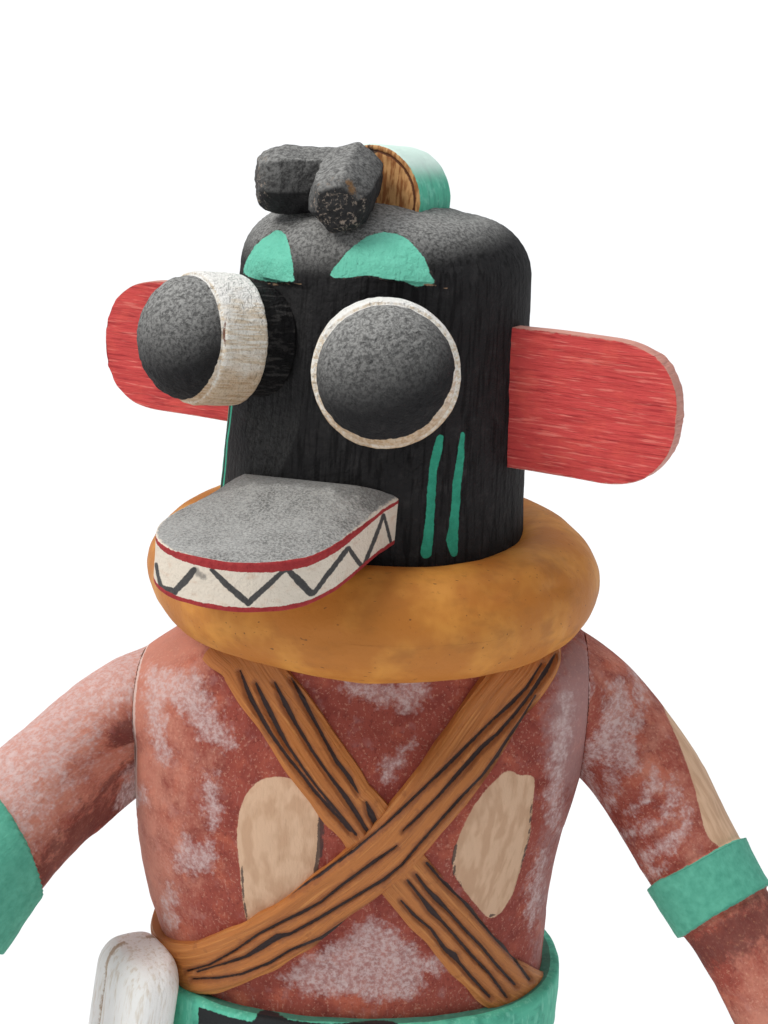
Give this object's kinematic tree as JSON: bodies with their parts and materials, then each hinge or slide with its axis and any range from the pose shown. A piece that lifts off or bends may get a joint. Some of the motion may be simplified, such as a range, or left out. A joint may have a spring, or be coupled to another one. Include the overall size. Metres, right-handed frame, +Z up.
{
  "type": "kachina doll",
  "caption": "Carved wooden figure with a black case mask, domed eyes, red ears, flat snout, neck ruff, crossed bandoliers, belt and sash, standing on a low oval base.",
  "frame": {"origin": "centre of the base's underside", "axes": "+Z up the figure, -Y the way its chest faces, +X to the figure's left"},
  "size_m": [0.1709, 0.0933, 0.2469],
  "materials": {
    "base_wood": "matt, bare",
    "body_paint": "matt paint, rubbed",
    "ruff_ochre": "matt paint",
    "head_black": "matt paint, stippled",
    "eye_cream": "matt paint, brushed",
    "ear_red": "matt paint",
    "snout_cream": "matt paint",
    "crest_turquoise": "matt paint",
    "sash_white": "matt paint"
  },
  "bodies": {
    "root": {"base": "base_wood", "body": "body_paint", "arm_right": "body_paint", "arm_left": "body_paint", "ruff": "ruff_ochre", "head": "head_black", "eye_right": "eye_cream", "eye_left": "eye_cream", "ear_right": "ear_red", "ear_left": "ear_red", "snout": "snout_cream", "crest_roll": "crest_turquoise", "crest_knobs": "head_black", "rain_sash": "sash_white"}
  },
  "joints": []
}
